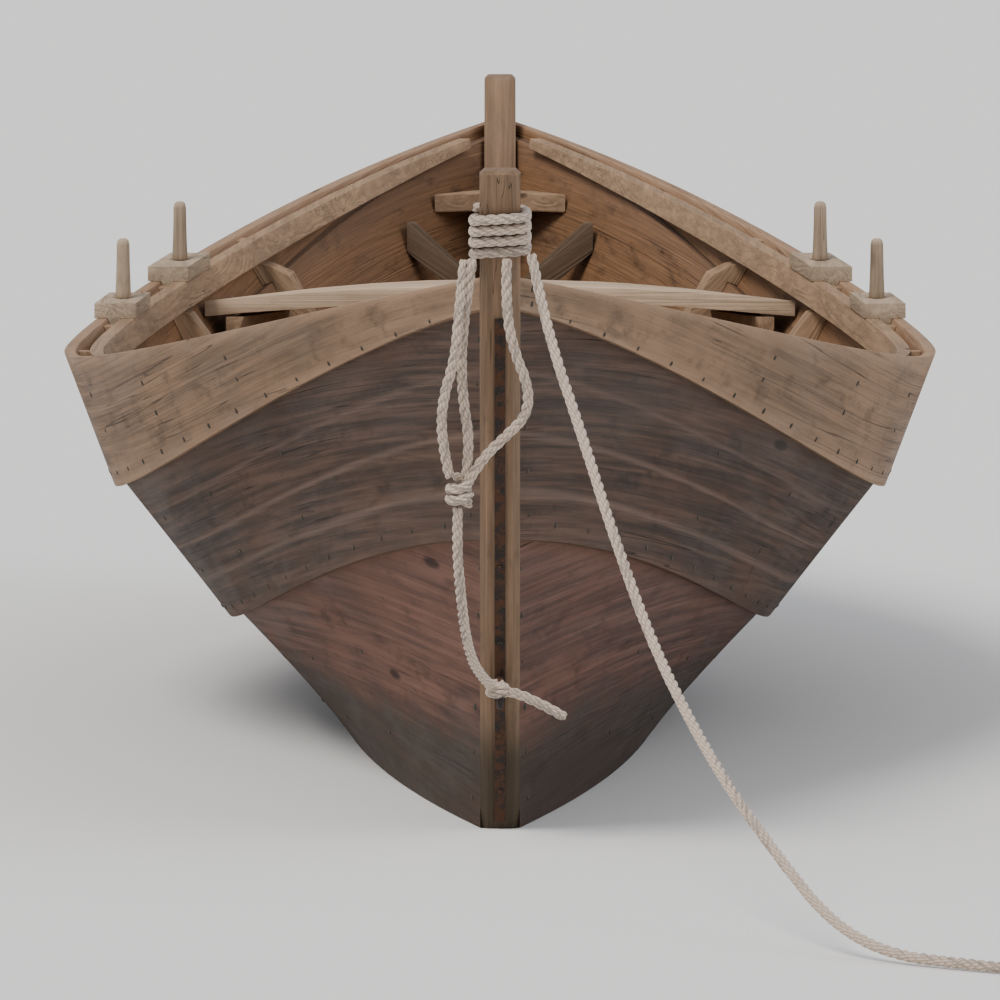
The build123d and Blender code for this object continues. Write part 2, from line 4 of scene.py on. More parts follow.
import bmesh
import bpy
import numpy as np
from bpy.props import FloatProperty, FloatVectorProperty, IntProperty, PointerProperty
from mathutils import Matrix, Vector


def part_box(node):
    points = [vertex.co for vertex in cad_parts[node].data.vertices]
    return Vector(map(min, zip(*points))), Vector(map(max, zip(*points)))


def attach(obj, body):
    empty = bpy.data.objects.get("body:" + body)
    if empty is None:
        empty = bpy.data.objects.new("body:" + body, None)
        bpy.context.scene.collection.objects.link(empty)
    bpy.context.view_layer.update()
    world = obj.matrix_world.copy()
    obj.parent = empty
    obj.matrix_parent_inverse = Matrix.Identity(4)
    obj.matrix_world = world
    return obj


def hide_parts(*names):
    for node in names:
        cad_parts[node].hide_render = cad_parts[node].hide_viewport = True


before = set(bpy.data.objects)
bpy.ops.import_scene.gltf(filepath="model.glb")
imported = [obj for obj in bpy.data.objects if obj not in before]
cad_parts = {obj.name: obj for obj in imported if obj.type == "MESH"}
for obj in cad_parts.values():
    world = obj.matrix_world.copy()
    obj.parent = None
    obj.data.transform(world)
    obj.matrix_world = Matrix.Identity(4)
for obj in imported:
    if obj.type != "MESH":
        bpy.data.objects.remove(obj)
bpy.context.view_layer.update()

bl_info = {
    "name": "Lapstrake rowing boat",
    "version": (1, 0, 0),
    "blender": (4, 5, 0),
    "location": "3D View > Sidebar > Boat",
    "description": "Builds a weathered double-ended rowing boat with its mooring rope around a CAD frame",
    "category": "Object",
}

HULL = "hull"
# The frame names the +X side starboard.
SIDES = (("starboard", 1.0), ("port", -1.0))


# ---- hull shape, in metres
PLANK = 0.018
LAP = 0.032
BOTTOM = 0.024
POST_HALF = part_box("stem_post")[1].x
FOOT_HALF_LENGTH = 2.0
RAKE = 0.64
END_HALF_BREADTH = 0.022
LINES = {
    "chine": dict(breadth=0.240, height=0.0, bow=0.0, stern=0.0, fullness=0.0, fineness=0.0),
    "lower_lap": dict(breadth=0.445, height=0.176, bow=0.458, stern=0.470, fullness=0.64, fineness=0.0),
    "upper_lap": dict(breadth=0.637, height=0.387, bow=0.815, stern=0.832, fullness=0.60, fineness=0.30),
    "sheer": dict(breadth=0.720, height=0.609, bow=0.865, stern=0.885, fullness=0.35, fineness=0.30),
}
PLANKS = (
    ("garboard", "chine", "lower_lap"),
    ("middle_strake", "lower_lap", "upper_lap"),
    ("sheer_strake", "upper_lap", "sheer"),
)
NAIL_SPACING = 0.160
BOW_HEAD_HEIGHT = 1.030
STERN_HEAD_HEIGHT = 0.975
HALF_LENGTH = 2.7
POST_FRONT_FOOT = 2.05
POST_BULGE = 0.020
POST_AFT_STATION = 0.97
BAND_THICKNESS = 0.004
FIRST_FRAME = -1.44
FRAME_SPACING = 0.48
PLANK_EDGE_RADIUS = 0.0022
PLANK_FACE_DIVISIONS = 6


def rise(u, fullness):
    """Smooth curve from 0 amidships to 1 at the posts."""
    return (1 + fullness) * u**2 - fullness * u**4


def line_point(name, u):
    """Half-breadth and height of a plank edge line at station u, -1 at the bow to 1 at the stern."""
    line = LINES[name]
    end_height = line["bow"] if u < 0 else line["stern"]
    fineness = line["fineness"] if u < 0 else 0.0
    x = line["breadth"] + (END_HALF_BREADTH - line["breadth"]) * rise(u, fineness)
    return x, line["height"] + (end_height - line["height"]) * rise(u, line["fullness"])


def in_station(u, point):
    x, z = point
    return Vector((x, u * (FOOT_HALF_LENGTH + RAKE * z), z))


def along(point, angle, distance):
    return point[0] + math.cos(angle) * distance, point[1] + math.sin(angle) * distance


def outward(point, angle, distance):
    return point[0] + math.sin(angle) * distance, point[1] - math.cos(angle) * distance


def plank_angle(index, u):
    low, high = line_point(PLANKS[index][1], u), line_point(PLANKS[index][2], u)
    width = math.hypot(high[0] - low[0], high[1] - low[1])
    angle = math.atan2(high[1] - low[1], high[0] - low[0])
    return angle + math.asin(PLANK / width) if index < 2 else angle


def plank_corners(index, u):
    """Corners of a plank's section, in order round it: inner low, outer low, lap or rail, inner high."""
    low, high = line_point(PLANKS[index][1], u), line_point(PLANKS[index][2], u)
    angle = plank_angle(index, u)
    width = math.hypot(high[0] - low[0], high[1] - low[1])
    outer_low = (low[0] + PLANK / math.sin(angle), low[1]) if index == 0 else outward(low, angle, PLANK)
    if index == 2:
        return [low, outer_low, (high[0] + PLANK / math.sin(angle), high[1]), high]
    inner_high = along(low, angle, math.sqrt(width**2 - PLANK**2) + LAP)
    turn = plank_angle(index + 1, u) - angle
    lap_high = outward(inner_high, angle, PLANK - LAP * math.tan(turn))
    return [low, outer_low, high, lap_high, inner_high]


def bisect(low, high, rounds, is_low):
    """Closes in on the place between low and high where is_low stops being true."""
    for _ in range(rounds):
        middle = (low + high) / 2
        if is_low(middle):
            low = middle
        else:
            high = middle
    return (low + high) / 2


def station_for(place, corner):
    """Station where a corner line, a function of u, crosses the plane y = place."""
    return bisect(-1.0, 1.0, 40, lambda u: in_station(u, corner(u)).y < place)


def post_front(height, head_height):
    """Distance from the middle of the boat to a post's outer face at a height."""
    share = height / head_height
    return POST_FRONT_FOOT + (HALF_LENGTH - POST_FRONT_FOOT) * share + 4 * POST_BULGE * share * (1 - share)


def post_inner(height):
    return POST_AFT_STATION * (FOOT_HALF_LENGTH + RAKE * height)


# ---- mesh helpers
def link_object(name, mesh):
    piece = bpy.data.objects.new(name, mesh)
    bpy.context.scene.collection.objects.link(piece)
    return piece


def set_vectors(mesh, name, values):
    """Stores a vector for each point, which the materials read by its name."""
    layer = mesh.attributes.new(name, "FLOAT_VECTOR", "POINT")
    layer.data.foreach_set("vector", np.asarray(values, np.float32).reshape(-1))


def set_floats(mesh, name, values):
    layer = mesh.attributes.new(name, "FLOAT", "POINT")
    layer.data.foreach_set("value", np.asarray(values, np.float32).reshape(-1))


def smooth(mesh, angle):
    mesh.shade_smooth()
    mesh.set_sharp_from_angle(angle=math.radians(angle))


def finish_piece(piece, slot, nodes, body=HULL):
    """Rides the piece on its body and hides the CAD nodes that it stands for."""
    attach(piece, body)
    if nodes:
        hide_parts(*nodes)
    return piece


def recalculate(mesh):
    work = bmesh.new()
    work.from_mesh(mesh)
    bmesh.ops.recalc_face_normals(work, faces=work.faces)
    work.to_mesh(mesh)
    work.free()


# ---- material helpers
class Nodes:
    """Short way to add nodes to a material's tree and join them."""

    def __init__(self, name):
        self.material = bpy.data.materials.new(name)
        self.material.use_nodes = True
        self.tree = self.material.node_tree
        self.tree.nodes.clear()

    def add(self, kind, inputs=(), **settings):
        node = self.tree.nodes.new("ShaderNode" + kind)
        for key, value in settings.items():
            setattr(node, key, value)
        for key, value in dict(inputs).items():
            if isinstance(value, bpy.types.NodeSocket):
                self.tree.links.new(value, node.inputs[key])
            else:
                node.inputs[key].default_value = value
        return node

    def attribute(self, name, output="Vector"):
        return self.add("Attribute", attribute_name=name).outputs[output]

    def stretch(self, vector, scale):
        return self.add("VectorMath", {0: vector, 1: scale}, operation="MULTIPLY").outputs[0]

    def noise(self, vector, detail=4.0, roughness=0.55, distortion=0.0, scale=1.0):
        inputs = {"Vector": vector, "Scale": scale, "Detail": detail, "Roughness": roughness,
                  "Distortion": distortion}
        return self.add("TexNoise", inputs).outputs[0]

    def math(self, operation, a, b=0.0):
        return self.add("Math", {0: a, 1: b}, operation=operation).outputs[0]

    def times(self, a, b):
        return self.math("MULTIPLY", a, b)

    def plus(self, a, b):
        return self.math("ADD", a, b)

    def span(self, value, low, high, to_low=0.0, to_high=1.0):
        inputs = {"Value": value, "From Min": low, "From Max": high, "To Min": to_low, "To Max": to_high}
        return self.add("MapRange", inputs, clamp=True, interpolation_type="SMOOTHSTEP").outputs[0]

    def mix(self, factor, a, b, blend="MIX"):
        node = self.add("Mix", data_type="RGBA", blend_type=blend, clamp_factor=True)
        for socket, value in ((node.inputs[0], factor), (node.inputs[6], a), (node.inputs[7], b)):
            if isinstance(value, bpy.types.NodeSocket):
                self.tree.links.new(value, socket)
            elif socket == node.inputs[0]:
                socket.default_value = value
            else:
                socket.default_value = tuple(value)[:3] + (1.0,)
        return node.outputs[2]

    def surface(self, color, roughness, height, bump, **shader_values):
        bump_node = self.add("Bump", {"Strength": 1.0, "Distance": bump, "Height": height})
        inputs = {"Base Color": color, "Roughness": roughness, "Normal": bump_node.outputs[0]}
        shader = self.add("BsdfPrincipled", inputs)
        for key, value in shader_values.items():
            shader.inputs[key].default_value = value
        self.add("OutputMaterial", {"Surface": shader.outputs[0]})
        return self.material


def wood(name, dark, middle, pale, grey=0.35, stain=0.0, inside=None, wear=0.35, marks=()):
    """Weathered wood whose grain follows the 'grain' attribute of the mesh."""
    t = Nodes(name)
    grain = t.attribute("grain")
    fibre = t.noise(t.stretch(grain, (5.0, 420.0, 420.0)), detail=5.0, roughness=0.6)
    streak = t.noise(t.stretch(grain, (1.6, 70.0, 70.0)), detail=4.0, roughness=0.6)
    rings_from = t.noise(t.stretch(grain, (0.55, 13.0, 13.0)), detail=2.0, roughness=0.45, distortion=0.35)
    rings = t.math("PINGPONG", t.times(rings_from, 13.0), 0.5)
    rings = t.span(rings, 0.04, 0.46)
    blotch = t.noise(t.stretch(grain, (2.2, 7.0, 7.0)), detail=5.0, roughness=0.62)
    patches = t.noise(t.stretch(grain, (9.0, 22.0, 22.0)), detail=6.0, roughness=0.7)
    crack_from = t.noise(t.stretch(grain, (0.55, 85.0, 85.0)), detail=1.0, roughness=0.4)
    crack = t.span(t.math("ABSOLUTE", t.math("SUBTRACT", crack_from, 0.5)), 0.007, 0.0)
    crack_patch = t.noise(t.stretch(grain, (1.1, 9.0, 9.0)), detail=1.0)
    crack = t.times(crack, t.span(crack_patch, 0.50, 0.60))
    knot_cell = t.add("TexVoronoi", {"Vector": t.stretch(grain, (1.9, 7.0, 7.0)), "Scale": 1.0,
                                     "Randomness": 1.0})
    knot = t.span(knot_cell.outputs["Distance"], 0.085, 0.045)

    base = t.mix(t.span(fibre, 0.30, 0.72), dark, middle)
    base = t.mix(t.times(t.span(streak, 0.38, 0.66), 0.75), base, pale)
    base = t.mix(t.times(rings, 0.30), base, [c * 0.72 for c in middle])
    if inside:
        lit = t.mix(t.span(fibre, 0.30, 0.72), [c * 0.55 for c in inside], inside)
        lit = t.mix(t.times(rings, 0.35), lit, [c * 0.62 for c in inside])
        base = t.mix(t.attribute("inner", "Fac"), base, lit)
    base = t.mix(t.times(t.span(blotch, 0.46, 0.68), grey), base, [c * 1.25 + 0.02 for c in pale])
    base = t.mix(t.times(t.span(patches, 0.50, 0.72), 0.55), base, [c * 0.45 for c in dark])
    for place, width, strength in marks:
        drift = t.times(t.math("SUBTRACT", streak, 0.5), 0.05)
        off = t.math("ABSOLUTE", t.math("SUBTRACT", t.plus(t.attribute("across", "Fac"), drift), place))
        line = t.times(t.span(off, width, 0.0), t.span(blotch, 0.30, 0.62, 0.25, strength))
        base = t.mix(line, base, [c * 1.2 + 0.03 for c in pale])
    worn = t.times(t.attribute("wear", "Fac"), t.span(patches, 0.35, 0.6, wear * 0.5, wear))
    base = t.mix(worn, base, [min(1.0, c * 1.35 + 0.03) for c in pale])
    base = t.mix(t.times(knot, 0.8), base, [c * 0.35 for c in dark])
    base = t.mix(t.times(crack, 0.6), base, [c * 0.3 for c in dark])
    if stain:
        height = t.add("SeparateXYZ", {0: t.add("TexCoord").outputs["Object"]}).outputs[2]
        edge = t.plus(height, t.times(t.math("SUBTRACT", blotch, 0.5), 0.12))
        wet = t.times(t.span(edge, 0.20, 0.10), stain)
        base = t.mix(wet, base, (0.030, 0.026, 0.018))
    relief = t.plus(t.times(fibre, 0.45), t.times(rings, 0.25))
    relief = t.plus(relief, t.times(blotch, 0.4))
    relief = t.math("SUBTRACT", relief, t.times(crack, 1.3))
    roughness = t.span(blotch, 0.35, 0.7, 0.62, 0.88)
    return t.surface(base, roughness, relief, 0.0022, **{"Specular IOR Level": 0.16})


def iron_material():
    t = Nodes("Wrought iron")
    place = t.add("TexCoord").outputs["Object"]
    coarse = t.noise(place, scale=55.0, detail=6.0, roughness=0.65)
    fine = t.noise(place, scale=420.0, detail=4.0, roughness=0.6)
    base = t.mix(t.span(coarse, 0.42, 0.62), (0.018, 0.015, 0.014), (0.085, 0.038, 0.020))
    base = t.mix(t.times(t.span(fine, 0.5, 0.7), 0.4), base, (0.16, 0.075, 0.035))
    relief = t.plus(coarse, t.times(fine, 0.35))
    return t.surface(base, t.span(coarse, 0.35, 0.7, 0.5, 0.85), relief, 0.0012,
                     **{"Metallic": 0.55, "Specular IOR Level": 0.4})


def copper_material():
    t = Nodes("Dull copper")
    place = t.add("TexCoord").outputs["Object"]
    coarse = t.noise(place, scale=140.0, detail=5.0, roughness=0.6)
    base = t.mix(t.span(coarse, 0.4, 0.65), (0.060, 0.036, 0.024), (0.030, 0.045, 0.036))
    return t.surface(base, t.span(coarse, 0.3, 0.7, 0.45, 0.75), coarse, 0.0004, **{"Metallic": 0.7})


def rope_material(color):
    """Laid rope: yarns twist along each strand, by the 'lay' attribute of the mesh."""
    t = Nodes("Faded laid rope")
    lay = t.attribute("lay")
    parts = t.add("SeparateXYZ", {0: lay})
    run, turn = parts.outputs[0], parts.outputs[1]
    twist = t.plus(t.times(run, 900.0), t.times(turn, 4.0))
    yarn = t.math("PINGPONG", t.math("DIVIDE", twist, 2 * math.pi), 0.5)
    yarn = t.span(yarn, 0.0, 0.5)
    place = t.add("TexCoord").outputs["Object"]
    fibre = t.noise(place, scale=900.0, detail=4.0, roughness=0.65)
    dirt = t.noise(place, scale=26.0, detail=5.0, roughness=0.65)
    # Each yarn falls to half its tone towards the grooves between yarns: painted shade in the grooves.
    shade = t.mix(yarn, [c * 0.50 for c in color], color)
    shade = t.mix(t.times(t.span(fibre, 0.35, 0.7), 0.4), shade, [min(1.0, c * 1.25) for c in color])
    shade = t.mix(t.times(t.span(dirt, 0.50, 0.72), 0.5), shade, [c * 0.52 for c in color])
    relief = t.plus(yarn, t.times(fibre, 0.5))
    return t.surface(shade, 0.92, relief, 0.0010, **{"Sheen Weight": 0.35, "Sheen Roughness": 0.6})


def floor_material(color):
    t = Nodes("Pale floor")
    place = t.add("TexCoord").outputs["Object"]
    soft = t.noise(place, scale=3.0, detail=3.0)
    base = t.mix(t.times(soft, 0.05), color, [c * 0.8 for c in color])
    return t.surface(base, 0.9, soft, 0.0001, **{"Specular IOR Level": 0.2})


# ---- planks
def rounded_profile(corners, radius, steps):
    """Closed outline with softened corners, and its outer and inner faces divided evenly."""
    points = []
    count = len(corners)
    for i, corner in enumerate(corners):
        corner = Vector(corner)
        before, after = Vector(corners[i - 1]), Vector(corners[(i + 1) % count])
        reach = min(radius, 0.35 * (before - corner).length, 0.35 * (after - corner).length)
        start = corner + (before - corner).normalized() * reach
        end = corner + (after - corner).normalized() * reach
        points += [start, start * 0.25 + corner * 0.5 + end * 0.25, end]
        if i in (1, count - 1):
            following = after + (corner - after).normalized() * reach
            points += [end.lerp(following, k / steps) for k in range(1, steps)]
    return points


def profile_marks(corner_count, steps):
    """For each point of a rounded profile: how worn it is, and whether it is on the inner face."""
    wear, inner = [], []
    for i in range(corner_count):
        last = i == corner_count - 1
        wear += [0.7, 1.0, 0.7]
        inner += [float(last or i == 0)] * 3
        if i in (1, corner_count - 1):
            wear += [0.0] * (steps - 1)
            inner += [float(last)] * (steps - 1)
    return wear, inner


def end_station(corner_function, end):
    """Station at which a line on a plank reaches the side of the post."""
    return end * bisect(0.9, 1.04, 30, lambda u: corner_function(end * u)[0] > POST_HALF)


def plank_mesh(name, index, sign, stations, seed):
    """One side plank as a closed strip, with grain that runs along it."""
    wear, inner = profile_marks(len(plank_corners(index, 0.0)), PLANK_FACE_DIVISIONS)
    width = len(wear)

    def profile(u):
        return rounded_profile(plank_corners(index, u), PLANK_EDGE_RADIUS, PLANK_FACE_DIVISIONS)

    ends = []
    for j in range(width):
        ends.append([end_station(lambda u: profile(u)[j], end) for end in (-1.0, 1.0)])
    rows = []
    for i in range(stations + 1):
        share = i / stations
        stops = [low * (1 - share) + high * share for low, high in ends]
        near, far = profile(min(stops)), profile(max(stops))
        spread = max(stops) - min(stops) or 1.0
        row = []
        for j, u in enumerate(stops):
            row.append(in_station(u, near[j].lerp(far[j], (u - min(stops)) / spread)))
        rows.append(row)
    for j in range(width):
        for row in (rows[0], rows[-1]):
            row[j].x = POST_HALF
    verts = [(sign * p.x, p.y, p.z) for row in rows for p in row]
    faces = []
    for i in range(stations):
        for j in range(width):
            a, b = i * width + j, i * width + (j + 1) % width
            faces.append((a, b, b + width, a + width))
    faces.append(tuple(range(width - 1, -1, -1)))
    faces.append(tuple(stations * width + j for j in range(width)))
    mesh = bpy.data.meshes.new(name)
    mesh.from_pydata(verts, [], faces)
    grain, across = [], []
    run = 0.0
    for i, row in enumerate(rows):
        run += (row[0] - rows[i - 1][0]).length if i else 0.0
        levels = [(point - row[0]).length for point in row]
        across += [-1.0 if inner[j] else level / max(levels) for j, level in enumerate(levels)]
        for j, level in enumerate(levels):
            grain.append((run + seed * 7.3, level + seed * 1.7, 0.03 * inner[j] + seed * 3.1))
    set_vectors(mesh, "grain", grain)
    set_floats(mesh, "wear", wear * (stations + 1))
    set_floats(mesh, "inner", inner * (stations + 1))
    set_floats(mesh, "across", across)
    recalculate(mesh)
    smooth(mesh, 35)
    return mesh


# ---- timbers that keep their CAD shape
def timber_copy(node, material, grain_of, slot, edge, seed=0.0, body=HULL):
    """Copy of a CAD node with softened edges and grain along the timber."""
    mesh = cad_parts[node].data.copy()
    mesh.name = node + "_timber"
    work = bmesh.new()
    work.from_mesh(mesh)
    bmesh.ops.remove_doubles(work, verts=work.verts, dist=0.00002)
    bmesh.ops.dissolve_limit(work, angle_limit=math.radians(1.5), verts=work.verts, edges=work.edges)
    sharp = [e for e in work.edges if e.is_manifold and e.calc_face_angle(0.0) > math.radians(28)]
    if edge:
        bmesh.ops.bevel(work, geom=sharp, offset=edge, segments=2, affect="EDGES", profile=0.6,
                        clamp_overlap=True)
    bmesh.ops.triangulate(work, faces=[f for f in work.faces if len(f.verts) > 4])
    work.normal_update()
    worn = [max((e.calc_face_angle(0.0) for e in v.link_edges if e.is_manifold), default=0.0)
            for v in work.verts]
    work.to_mesh(mesh)
    work.free()
    for name in [a.name for a in mesh.color_attributes]:
        mesh.color_attributes.remove(mesh.color_attributes[name])
    points = [v.co for v in mesh.vertices]
    shift = Vector((seed * 7.3, seed * 1.9, seed * 3.3))
    set_vectors(mesh, "grain", [Vector(grain_of(p)) + shift for p in points])
    set_floats(mesh, "wear", [min(1.0, w / 0.6) for w in worn])
    set_floats(mesh, "inner", [1.0] * len(points))
    mesh.materials.clear()
    mesh.materials.append(material)
    smooth(mesh, 30)
    piece = link_object(node + "_timber", mesh)
    return finish_piece(piece, slot, [node], body)


def grain_x(p):
    return p.x, p.y, p.z


def grain_y(p):
    return p.y, p.x, p.z


def grain_z(p):
    return p.z, p.x, p.y


def grain_raked(end):
    """Along a post, which leans outwards as it rises."""
    lean = math.atan(RAKE)

    def grain(p):
        y = p.y * end
        return p.z * math.cos(lean) + y * math.sin(lean), p.x, y * math.cos(lean) - p.z * math.sin(lean)

    return grain


def grain_round(p):
    """Round the inside of the hull, for frames that are sawn from grown crooks."""
    centre = 0.95
    angle = math.atan2(p.x, centre - p.z)
    return angle * 0.75, math.hypot(p.x, centre - p.z), p.y


def grain_vee(p):
    return abs(p.x) * 0.84 + p.z * 0.54, p.y, p.z * 0.84 - abs(p.x) * 0.54


# ---- rope
ROUTE_RESOLUTION = 10
ROPE_STEP = 0.0035
STRAND_SHARE = 0.268
STRAND_PITCH = 3.1
STRAND_RING = 8
STRAND_END_SCALE = 0.55


def smooth_line(points):
    """Points of the smooth line that a rope follows: an open NURBS curve of third order."""
    curve = bpy.data.curves.new("rope_line", "CURVE")
    curve.dimensions = "3D"
    spline = curve.splines.new("NURBS")
    spline.points.add(len(points) - 1)
    for point, place in zip(spline.points, points):
        point.co = (*place, 1.0)
    spline.order_u = 3
    spline.use_endpoint_u = True
    curve.resolution_u = ROUTE_RESOLUTION
    holder = bpy.data.objects.new("rope_line", curve)
    bpy.context.scene.collection.objects.link(holder)
    bpy.context.view_layer.update()
    mesh = bpy.data.meshes.new_from_object(holder.evaluated_get(bpy.context.evaluated_depsgraph_get()))
    line = [v.co.copy() for v in mesh.vertices]
    bpy.data.meshes.remove(mesh)
    bpy.data.objects.remove(holder)
    bpy.data.curves.remove(curve)
    return line


def resample(line):
    """Evenly spaced points along a line, with the running length at each."""
    places = np.array([tuple(p) for p in line])
    runs = np.concatenate([[0.0], np.cumsum(np.linalg.norm(np.diff(places, axis=0), axis=1))])
    keep = np.concatenate([[True], np.diff(runs) > 1e-9])
    places, runs = places[keep], runs[keep]
    count = max(4, int(round(runs[-1] / ROPE_STEP)))
    at = np.linspace(0.0, runs[-1], count + 1)
    return np.stack([np.interp(at, runs, places[:, k]) for k in range(3)], axis=1), at


def line_frames(places):
    """A sideways pair of directions at each point that don't twist along the line."""
    tangents = np.gradient(places, axis=0)
    tangents /= np.linalg.norm(tangents, axis=1)[:, None]
    first = np.cross(tangents[0], (0.3, 0.2, 0.93))
    sides = [first / np.linalg.norm(first)]
    for tangent in tangents[1:]:
        side = sides[-1] - tangent * np.dot(sides[-1], tangent)
        sides.append(side / np.linalg.norm(side))
    sides = np.array(sides)
    return sides, np.cross(tangents, sides)


def tube_data(places, runs, radius):
    """Vertices, faces and lay of one closed tube that narrows at both ends."""
    ring = STRAND_RING
    sides, ups = line_frames(places)
    angles = np.linspace(0, 2 * math.pi, ring, endpoint=False)
    scale = np.ones(len(places))
    scale[0] = scale[-1] = STRAND_END_SCALE
    verts, lay = [], []
    for i, place in enumerate(places):
        for angle in angles:
            offset = (sides[i] * math.cos(angle) + ups[i] * math.sin(angle)) * radius * scale[i]
            verts.append(tuple(place + offset))
            lay.append((runs[i], angle, 0.0))
    faces = []
    for i in range(len(places) - 1):
        for j in range(ring):
            a, b = i * ring + j, i * ring + (j + 1) % ring
            faces.append((a, b, b + ring, a + ring))
    faces.append(tuple(range(ring - 1, -1, -1)))
    faces.append(tuple((len(places) - 1) * ring + j for j in range(ring)))
    return verts, faces, lay


def laid_rope(name, points, diameter, material):
    """Three strands laid round each other along a route, as one mesh."""
    places, runs = resample(smooth_line(points))
    sides, ups = line_frames(places)
    strand_radius = diameter * STRAND_SHARE
    orbit = diameter * 0.5 - strand_radius
    verts, faces, lay = [], [], []
    for strand in range(3):
        angle = 2 * math.pi * (runs / (STRAND_PITCH * diameter) + strand / 3)
        centre = places + (sides * np.cos(angle)[:, None] + ups * np.sin(angle)[:, None]) * orbit
        more_verts, more_faces, more_lay = tube_data(centre, runs, strand_radius)
        start = len(verts)
        verts += more_verts
        faces += [tuple(start + k for k in face) for face in more_faces]
        lay += more_lay
    mesh = bpy.data.meshes.new(name)
    mesh.from_pydata(verts, [], faces)
    set_vectors(mesh, "lay", lay)
    recalculate(mesh)
    mesh.shade_smooth()
    mesh.materials.append(material)
    return link_object(name, mesh), [Vector(p) for p in places], runs[-1]


# ---- settings that a user would change
def tone(name, description, default):
    return FloatVectorProperty(name=name, description=description, subtype="COLOR", size=3, default=default)


class WoodSettings(bpy.types.PropertyGroup):
    """Tones of the wood"""
    rail: tone("Upper planks", "Tone of the weathered upper planks", (0.215, 0.135, 0.082))
    # The middle and lower plank tones are dark tar and also painted shade: they are darkened further for the shade
    # that their downward-facing outer faces stand in.
    middle: tone("Middle planks", "Tone of the dark middle planks", (0.052, 0.030, 0.020))
    lower: tone("Lower planks", "Tone of the reddish lower planks", (0.098, 0.048, 0.034))
    inside: tone("Inside", "Tone of the inside of the planks", (0.270, 0.142, 0.070))
    frames: tone("Frames", "Tone of frames and rails", (0.250, 0.160, 0.095))
    seats: tone("Seats", "Tone of seats and floor boards", (0.400, 0.290, 0.195))
    stations: IntProperty(name="Plank divisions", description="Divisions along each side plank",
                          default=150, min=20, max=400)


class RopeSettings(bpy.types.PropertyGroup):
    """Size and tone of the mooring rope"""
    diameter: FloatProperty(name="Diameter", description="Thickness of the rope", default=0.016,
                            subtype="DISTANCE", unit="LENGTH")
    color: tone("Colour", "Tone of the faded rope", (0.60, 0.46, 0.35))


class StageSettings(bpy.types.PropertyGroup):
    """Camera, light and floor"""
    distance: FloatProperty(name="Camera distance", description="From the camera to the middle of the boat",
                            default=19.0, subtype="DISTANCE", unit="LENGTH")
    eye_height: FloatProperty(name="Eye height", description="Camera height over the floor",
                              default=1.765, subtype="DISTANCE", unit="LENGTH")
    lens: FloatProperty(name="Lens", description="Focal length in millimetres", default=403.0)
    tilt: FloatProperty(name="Tilt", description="How far the camera looks down",
                        default=math.radians(4.265), subtype="ANGLE")
    floor: tone("Floor", "Tone of the floor", (0.78, 0.77, 0.75))


def wood_settings():
    return bpy.context.scene.boat_wood


def rope_settings():
    return bpy.context.scene.boat_rope


MADE = {}


def shared(name, build):
    """A material that several operators use, built once."""
    if name not in MADE:
        MADE[name] = build()
    return MADE[name]


def tones(color, low=0.55, high=1.35):
    color = list(color)
    return [c * low for c in color], color, [min(1.0, c * high) for c in color]


def frame_wood():
    return shared("frames", lambda: wood("Frame wood", *tones(wood_settings().frames), grey=0.30))


# Crook tone: the frame tone at 0.38 is painted shade for the dark band under the crooks, and the strong edge wear
# (0.8) is wear plus a painted highlight on their top edges.
def crook_wood_painted_shade():
    return shared("crooks", lambda: wood("Crook wood painted shade", *tones([c * 0.38 for c in wood_settings().frames]),
                                         grey=0.2, wear=0.8))


def seat_wood():
    return shared("seats", lambda: wood("Seat wood", *tones(wood_settings().seats), grey=0.45, wear=0.6))


def post_wood():
    return shared("posts", lambda: wood("Post wood", *tones([c * 0.85 for c in wood_settings().rail]),
                                        grey=0.35, stain=0.8))


def pin_wood():
    return shared("pins", lambda: wood("Pin wood", *tones((0.300, 0.225, 0.155)), grey=0.35, wear=0.5))


# ---- operators, one for each group of pieces
class BOAT_OT_planking(bpy.types.Operator):
    """Side planks and bottom planks"""
    bl_idname = "boat.planking"
    bl_label = "Planking"

    def execute(self, context):
        colors = wood_settings()
        inside = list(colors.inside)
        finishes = {
            # The lower and middle tones used here hold painted shade as well as tar: their outer faces are darkened
            # for the shade under the hull.
            "garboard": wood("Lower plank wood", *tones(colors.lower, 0.5, 1.8), grey=0.35, stain=0.75,
                             inside=inside),
            "middle_strake": wood("Middle plank wood", *tones(colors.middle, 0.45, 2.3), grey=0.30,
                                  inside=inside, marks=((0.26, 0.030, 0.75), (0.47, 0.022, 0.6), (0.70, 0.02, 0.35))),
            "sheer_strake": wood("Upper plank wood", *tones(colors.rail), grey=0.42, inside=inside, wear=0.75),
        }
        slots = {"garboard": "bottom_plank", "middle_strake": "dark_plank", "sheer_strake": "weathered_plank"}
        seed = 1
        for index, (name, _, _) in enumerate(PLANKS):
            for side, sign in SIDES:
                node = f"{name}_{side}"
                mesh = plank_mesh(node + "_plank", index, sign, colors.stations, seed)
                mesh.materials.append(finishes[name])
                finish_piece(link_object(node + "_plank", mesh), slots[name], [node])
                seed += 1
        for side, _ in SIDES:
            timber_copy(f"bottom_plank_{side}", finishes["garboard"], grain_y, "bottom_plank", 0.0, seed)
            seed += 1
        return {"FINISHED"}


